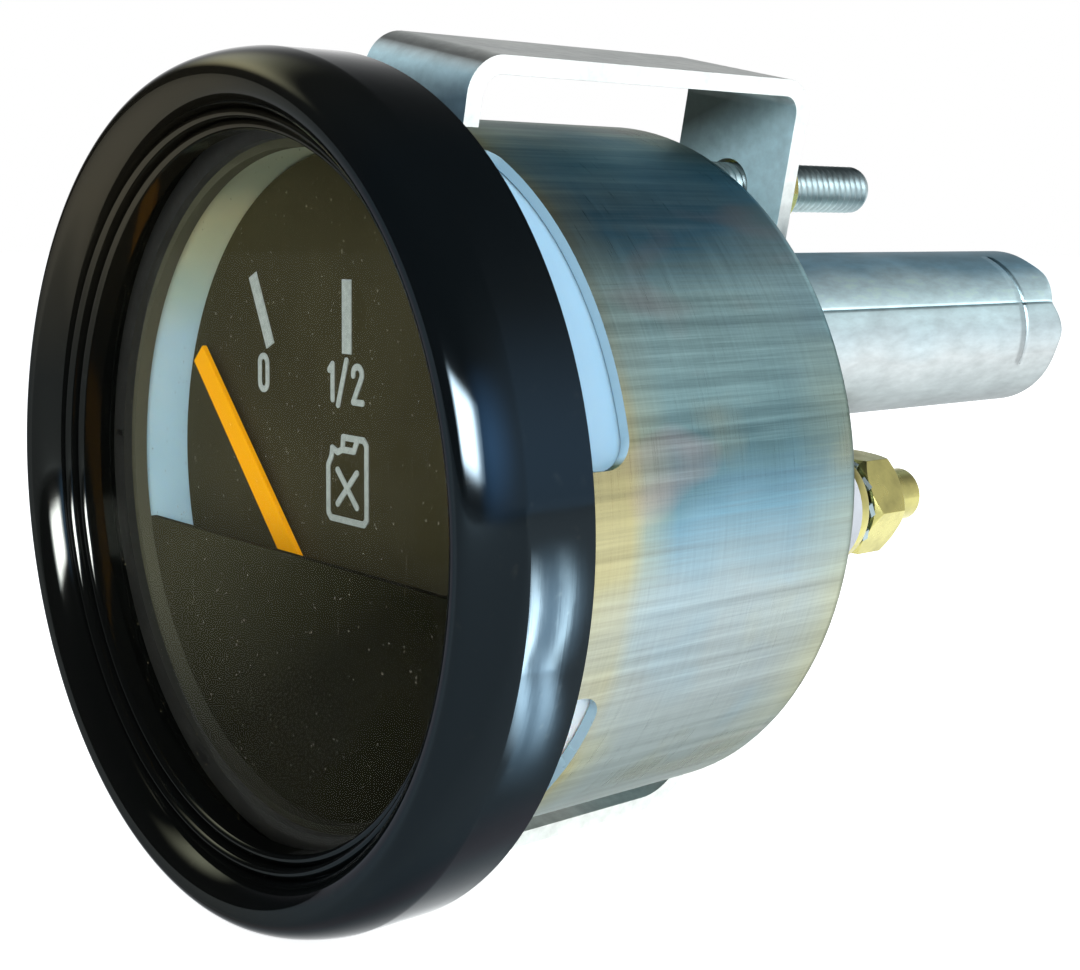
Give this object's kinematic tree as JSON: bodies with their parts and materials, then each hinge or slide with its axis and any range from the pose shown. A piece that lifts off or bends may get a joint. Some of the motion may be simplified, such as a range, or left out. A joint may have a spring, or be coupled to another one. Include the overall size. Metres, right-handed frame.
{
  "type": "fuel gauge",
  "caption": "Round dashboard fuel gauge: glossy bezel and glass, dial with pointer, plated can, U-shaped clamp, screw terminals and a push-in lamp tube.",
  "frame": {"origin": "on the gauge's axis, in the plane where the bezel seats on the panel", "axes": "+Y from the dial to the terminals along the gauge's axis, +Z the dial's upright, +X to the right seen from the front"},
  "size_m": [0.0602, 0.0698, 0.0629],
  "materials": {
    "black_enamel": "high gloss",
    "glass": "clear with light dust",
    "rubber": "matt",
    "black_card": "matt",
    "zinc_steel": "zinc plated with yellow and blue tints",
    "bright_zinc": "satin zinc plate",
    "translucent_blue": "translucent",
    "dial_black": "matt",
    "white_print": "matt printed ink",
    "orange_paint": "matt",
    "brass": "satin, slightly tarnished",
    "steel": "bright",
    "magnet": "sintered",
    "cream_plastic": "moulded",
    "copper": "enamelled wire",
    "brown_board": "pressed paper board",
    "resistor_green": "glazed",
    "white_insulator": "smooth"
  },
  "bodies": {
    "gauge": {"bezel": "black_enamel", "lens": "glass", "lens_seal": "rubber", "spacer_ring": "black_card", "housing": "zinc_steel", "light_ring": "translucent_blue", "dial": "dial_black", "dial_markings": "white_print", "dial_screws": "black_enamel", "mask_plate": "dial_black", "mask_posts": "dial_black", "stop_pins": "brass", "movement_plate": "steel", "front_bearing": "brass", "rear_bearing": "brass", "bobbin_front": "cream_plastic", "bobbin_rear": "cream_plastic", "coil_inner": "copper", "coil_outer": "copper", "movement_shield": "steel", "terminal_board": "brown_board", "board_pillars": "brass", "series_resistor": "resistor_green", "terminal_studs": "brass", "inner_insulators": "white_insulator", "outer_insulators": "white_insulator", "flat_washers": "brass", "lock_washers": "steel", "clamp_studs": "steel"},
    "pointer": {"pointer_blade": "orange_paint", "pointer_hub": "dial_black", "pointer_arbor": "steel", "rotor_magnet": "magnet"},
    "clamp": {"clamp_bracket": "bright_zinc"},
    "right_nut": {"terminal_nut_right": "brass"},
    "left_nut": {"terminal_nut_left": "brass"},
    "upper_nut": {"clamp_nut_upper": "brass"},
    "lower_nut": {"clamp_nut_lower": "brass"},
    "lamp": {"lamp_tube": "bright_zinc", "lamp_insulator": "brown_board", "lamp_contact": "brass", "lamp_spring": "steel", "bulb_cap": "brass", "bulb_glass": "glass"}
  },
  "joints": [
    {"name": "pointer_swing", "type": "hinge", "parent": "gauge", "child": "pointer", "pos_m": [0, 0.008, -0.0128], "axis": [0, 1, 0], "range_deg": [0, 87]},
    {"name": "clamp_slide", "type": "slide", "parent": "gauge", "child": "clamp", "axis": [0, 1, 0], "range_m": [-0.0035, 0]},
    {"name": "right_nut_turn", "type": "hinge", "parent": "gauge", "child": "right_nut", "pos_m": [0.02, 0.034, -0.0021], "axis": [0, 1, 0], "continuous": true},
    {"name": "left_nut_turn", "type": "hinge", "parent": "gauge", "child": "left_nut", "pos_m": [-0.01913, 0.034, 0.00621], "axis": [0, 1, 0], "continuous": true},
    {"name": "upper_nut_turn", "type": "hinge", "parent": "gauge", "child": "upper_nut", "pos_m": [0.00455, 0.0397, 0.02142], "axis": [0, 1, 0], "continuous": true},
    {"name": "lower_nut_turn", "type": "hinge", "parent": "gauge", "child": "lower_nut", "pos_m": [-0.00455, 0.0397, -0.02142], "axis": [0, 1, 0], "continuous": true},
    {"name": "lamp_pull", "type": "slide", "parent": "gauge", "child": "lamp", "axis": [0, 1, 0], "range_m": [0, 0.006]}
  ]
}
